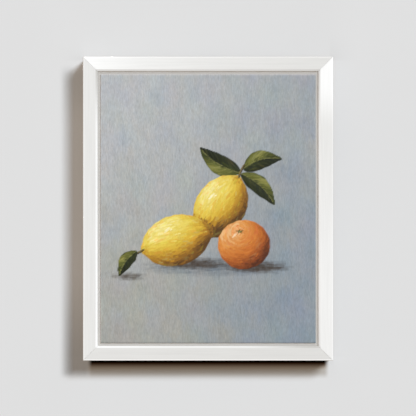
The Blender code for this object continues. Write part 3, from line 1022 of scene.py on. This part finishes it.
def dress_film(mesh, canvas):
    """Gives each point of the film its paint: the colour, and on its face the relief too."""
    places = points_of(mesh)
    thickness, colour, bare = canvas.read(places[:, 0] / MM, (places[:, 2] - MIDDLE_Z) / MM)
    from_side = PAINTING_WIDTH / 2 - np.abs(places[:, 0])
    from_end = PAINTING_HEIGHT / 2 - np.abs(places[:, 2] - MIDDLE_Z)
    on_face = places[:, 1] < COAT_BASE_Y + RIM_RADIUS
    places[:, 1] -= thickness * MM * on_face * smooth(0, 2 * RIM_RADIUS, np.minimum(from_side, from_end))
    attribute = mesh.color_attributes.new("paint", "FLOAT_COLOR", "POINT")
    attribute.data.foreach_set("color", np.column_stack((colour, bare)).astype(np.float32).ravel())
    lay_out_map(mesh, places)
    move_points(mesh, places)
    mesh.shade_smooth()


def lay_out_map(mesh, places):
    """A map for the finish that lies square to the picture, with the rim's sides just outside it."""
    vertex = np.empty(len(mesh.loops), np.int32)
    mesh.loops.foreach_get("vertex_index", vertex)
    depth = np.clip((places[:, 1] - COAT_BASE_Y) / RIM_DEPTH, 0, 1)
    grown = (1 - 2 * MAP_MARGIN) * (1 + MAP_RING * depth)
    across = 0.5 + places[:, 0] / PAINTING_WIDTH * grown
    up = 0.5 + (places[:, 2] - MIDDLE_Z) / PAINTING_HEIGHT * grown
    spots = np.column_stack((across, up))[vertex]
    back = max(mesh.polygons, key=lambda face: face.loop_total)
    spots[back.loop_start:back.loop_start + back.loop_total, 1] *= MAP_MARGIN / 4
    mesh.uv_layers.new(name="OFBake").uv.foreach_set("vector", spots.astype(np.float32).ravel())


def linen(rng):
    """The cloth under the paint, cut by hand, so that its edge wavers by a thread or so."""
    shape = upright_grid(LINEN_COLUMNS, LINEN_ROWS)
    for point in shape.verts:
        on_side = abs(point.co.x) > 0.499
        on_end = abs(point.co.z) > 0.499
        point.co.x *= PAINTING_WIDTH - 2 * LINEN_INSET
        point.co.z *= PAINTING_HEIGHT - 2 * LINEN_INSET
        point.co.x += on_side * rng.uniform(-FRAY, FRAY)
        point.co.z += on_end * rng.uniform(-FRAY, FRAY) + MIDDLE_Z
        point.co.y = linen_high.y - LINEN_THICKNESS
    front = shape.faces[:]
    back = bmesh.ops.extrude_face_region(shape, geom=front)["geom"]
    moved = [item for item in back if isinstance(item, bmesh.types.BMVert)]
    bmesh.ops.translate(shape, verts=moved, vec=(0, LINEN_THICKNESS, 0))
    bmesh.ops.recalc_face_normals(shape, faces=shape.faces)
    piece = new_piece("linen", shape, linen_cloth())
    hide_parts("painted_linen")


# ---------------------------------------------------------------- Room, light and camera

WALL_WIDTH = 2.6
WALL_BOTTOM = -1.3
WALL_TOP = 1.3
FLOOR_REACH = 12.0
WALL_TONE = mixed(218, 218, 218)
# The wall's paint is divided by this light: painted shade where the frame throws light, painted light
# where it keeps it off.
WALL_LIGHT = 0.9885  # the light that the open wall gets, which its paint evens out
THROWN_RIGHT = 0.088  # the light that each side of the frame throws on the wall, or keeps off it
THROWN_LEFT = -0.027
THROWN_ABOVE = 0.125
THROWN_BELOW = -0.071
UMBRA = np.array((0.65, 0.61, 0.56))  # what the shade painted below the frame keeps of the wall's colour
UMBRA_ENDS = (0.111, 0.117)  # where it fades, measured from the middle out to each side
UMBRA_CLEARS = (0.0132, 0.0208)  # where it fades, measured down from the frame
DARK_FADES = (0.0036, 0.0114)  # where the painted dark line close under the frame gives way to that shade
DARK_FRINGE = (0, 0.0004, 0.0007)  # how much further down that happens in red, green and blue
LOST_LOW = 0.27  # the share of its colour lost to painted shade beside the left rail's lower end
LOST_HIGH = 0.13  # and beside its upper end
LOST_RIM = 0.11  # and along the outer edge of that shade
FLOOR_TONE = mixed(214, 213, 210)
BACKDROP_TONE = mixed(226, 226, 225)
KEY_TOWARDS = (0.447, -1.0, 0.44)
KEY_COLOUR = (0.578, 0.641, 0.70)
KEY_SIZE_DEGREES = 15.5
FILL_COLOUR = np.array((0.482, 0.419, 0.36))
FILL_SPREAD = 0.12  # how much stronger it is from above than on average, and weaker from below
BACK_TOWARDS = (-0.10, 0.98, 0.14)
BACK_COLOUR = (1.0, 0.98, 0.95)
BACK_STRENGTH = 1.0
BACK_SIZE_DEGREES = 20.0
CAMERA_LENS = 200.0
CAMERA_SENSOR = 36.0
VIEW_WIDTH = 0.3924  # what the camera takes in across, at the frame's face
VIEW_LIFT = 0.0006


def thrown_light(distance, past_end):
    """How much a place on the wall gets of what one side of the frame throws on it, from 0 to 1."""
    away = distance.most(0)
    depth = BACK_Y - FACE_Y
    reach = 1 - away * (away * away + depth * depth).inverse_root()
    return reach * distance.step(-0.002, 0) * (1 - past_end.step(-0.03, 0.03))


def wall_shade(x, rise):
    """What the wall keeps of its colour where shade is painted on it: below the frame, and left of it."""
    below = -HALF_HEIGHT - rise
    in_shade = (1 - abs(x).step(*UMBRA_ENDS)) * below.step(-0.004, -0.002)
    opened = [below.step(DARK_FADES[0] + fringe, DARK_FADES[1] + fringe) for fringe in DARK_FRINGE]
    opening = x.node("ShaderNodeCombineXYZ", {}, dict(enumerate(opened)))
    clear = below.step(*UMBRA_CLEARS)
    under = opening.times(clear.blend(UMBRA, EVEN_GREY))

    left_of = -HALF_WIDTH - x
    below_top = 1 - rise.step(HALF_HEIGHT - 0.016, HALF_HEIGHT - 0.004)
    beside = left_of.step(-0.006, 0) * below_top * (1 - clear)
    ends = LOST_LOW * (1 - rise.step(-0.15, -0.05)) + LOST_HIGH * rise.step(0.075, 0.125)
    rim = LOST_RIM * left_of.step(0.009, 0.0145) * (1 - left_of.step(0.018, 0.026))
    lost = beside * (ends * (1 - left_of.step(0.014, 0.026)) + rim)
    return in_shade.blend(EVEN_GREY, under).shaded(1 - lost)


def plain_wall():
    """Flat pale paint, with painted shade and light that even out the light thrown by the frame,
    and painted shade that deepens the frame's own shadow.

    It is one-sided, so that the object's back can be looked at from behind the wall.
    """
    finish = Finish("plain_wall", {"Roughness": 0.9, "Specular IOR Level": 0.0})
    x, _, z = finish.place.apart()
    rise = z - MIDDLE_Z
    past_side = abs(x) - HALF_WIDTH
    past_end = abs(rise) - HALF_HEIGHT
    sides = (
        (THROWN_RIGHT, x - HALF_WIDTH, past_end),
        (THROWN_LEFT, -HALF_WIDTH - x, past_end),
        (THROWN_ABOVE, rise - HALF_HEIGHT, past_side),
        (THROWN_BELOW, -HALF_HEIGHT - rise, past_side),
    )
    light = WALL_LIGHT
    for strength, distance, past in sides:
        light = light + strength * thrown_light(distance, past)
    drift = finish.place.noise(0.6, 1.0)
    # painted shade and light that cancel what the frame throws on the wall
    paint = drift.blend(WALL_TONE, WALL_TONE * 0.99).shaded(light.maths("DIVIDE", 1, light))
    finish.feed("Base Color", paint.times(wall_shade(x, rise)))
    behind = finish.place.node("ShaderNodeNewGeometry", output="Backfacing")
    clear = finish.place.node("ShaderNodeBsdfTransparent")
    own = Wire(finish.tree, finish.shader.outputs[0])
    out = finish.place.node("ShaderNodeMixShader", {}, {0: behind, 1: own, 2: clear})
    finish.tree.links.new(out.socket, finish.tree.nodes["Material Output"].inputs["Surface"])
    return finish.material


def plain_floor():
    """Pale, matt and a little uneven."""
    finish = Finish("plain_floor", {"Roughness": 0.8, "Specular IOR Level": 0.1})
    drift = finish.place.noise(1.2, 1.0)
    finish.feed("Base Color", drift.blend(FLOOR_TONE, FLOOR_TONE * 0.98))
    return finish.material


def corners_of(left, right, low, high):
    """A rectangle's corners, anticlockwise from its lower left."""
    return (left, low), (right, low), (right, high), (left, high)


def stage_plane(name, corners, finish):
    """A flat side of the room, which catches shadows but throws no light back on the object."""
    shape = bmesh.new()
    shape.faces.new([shape.verts.new(corner) for corner in corners])
    plane = shaped(name, shape, finish)
    plane.visible_diffuse = False
    plane.visible_glossy = False
    return plane


def build_room():
    """The wall that the object hangs on, and a floor well below it."""
    side = WALL_WIDTH / 2
    wall_corners = [(x, 0, z) for x, z in corners_of(-side, side, WALL_BOTTOM, WALL_TOP)]
    wall = stage_plane("wall", wall_corners, plain_wall())
    wall.visible_shadow = False
    reach = FLOOR_REACH
    floor_corners = [(x, y, WALL_BOTTOM) for x, y in corners_of(-reach, reach, -reach, reach)]
    stage_plane("floor", floor_corners, plain_floor())


def sun(name, towards, strength, colour, size_degrees):
    """A distant light that stands in that direction. The larger it looks, the softer its shadows."""
    lamp = bpy.data.lights.new(name, "SUN")
    lamp.energy = strength
    lamp.color = colour
    lamp.angle = math.radians(size_degrees)
    light = added(name, lamp)
    light.rotation_mode = "QUATERNION"
    light.rotation_quaternion = Vector(towards).to_track_quat("Z", "Y")


def light_room():
    """Soft, bluish key light from the upper right, warm fill all round, and a weak light for the back."""
    square = -Vector(KEY_TOWARDS).normalized().y
    strongest = max(KEY_COLOUR)
    key_colour = [channel / strongest for channel in KEY_COLOUR]
    sun("key", KEY_TOWARDS, math.pi * strongest / square, key_colour, KEY_SIZE_DEGREES)
    sun("back", BACK_TOWARDS, BACK_STRENGTH, BACK_COLOUR, BACK_SIZE_DEGREES)
    world = bpy.data.worlds.new("room")
    bpy.context.scene.world = world
    world.use_nodes = True
    tree = world.node_tree
    place = Wire(tree).node("ShaderNodeTexCoord", output="Generated")
    above = place.apart()[2].step(-0.25, 0.35)
    fill = above.blend(FILL_COLOUR * (1 - FILL_SPREAD), FILL_COLOUR * (1 + FILL_SPREAD))
    seen = place.node("ShaderNodeLightPath", output="Is Camera Ray")
    shown = seen.blend(fill, BACKDROP_TONE)
    tree.links.new(shown.socket, tree.nodes["Background"].inputs["Color"])


def place_camera():
    """Square in front of the painting, and so far off that next to nothing shows of the frame's sides."""
    lens = bpy.data.cameras.new("camera")
    lens.lens = CAMERA_LENS
    lens.sensor_width = CAMERA_SENSOR
    lens.clip_start = 0.1
    lens.clip_end = 60
    camera = added("camera", lens)
    distance = VIEW_WIDTH * CAMERA_LENS / CAMERA_SENSOR
    camera.location = (0, FACE_Y - distance, MIDDLE_Z + VIEW_LIFT)
    camera.rotation_euler = (math.pi / 2, 0, 0)
    bpy.context.scene.camera = camera
    bpy.context.scene.view_settings.view_transform = "Standard"


# ---------------------------------------------------------------- Putting it together


def finish_node(name, material):
    """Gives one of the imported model's nodes its finish."""
    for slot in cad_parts[name].material_slots:
        slot.material = material


def finish_nodes():
    """Gives every node its finish: each rail its own, and the fittings by what their names start with."""
    nail = worn_metal("nail_steel", mixed(170, 171, 172), mixed(118, 112, 104), 0.30, (1, 0.1, 1))
    point = worn_metal("point_steel", mixed(150, 151, 153), mixed(98, 95, 92), 0.36, (0.1, 1, 1))
    plated = worn_metal("plated_steel", mixed(224, 190, 116), mixed(160, 128, 70), 0.24, (0.08, 1, 1))
    by_start = {
        "panel_core": millboard(),
        "backing_board": hardboard(),
        "mount_board": mount_paper(),
        "v_nail": nail,
        "framer_point": point,
        "sawtooth_hanger": plated,
        "hanger_nail": plated,
        "bumper": matt_rubber(),
    }
    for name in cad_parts:
        if name.startswith("rail"):
            finish_node(name, lacquered_wood(name))
        for start, material in by_start.items():
            if name.startswith(start):
                finish_node(name, material)


def main():
    """Finishes the frame, paints the picture, then sets up the room."""
    finish_nodes()
    across = spaced(np.linspace(0, 1, COLUMNS + 1), PAINTING_WIDTH / MM)
    up = spaced(np.linspace(0, 1, ROWS + 1), PAINTING_HEIGHT / MM)
    paint_film(paint_picture(across, up))
    linen(np.random.default_rng(5))
    build_room()
    light_room()
    place_camera()


main()
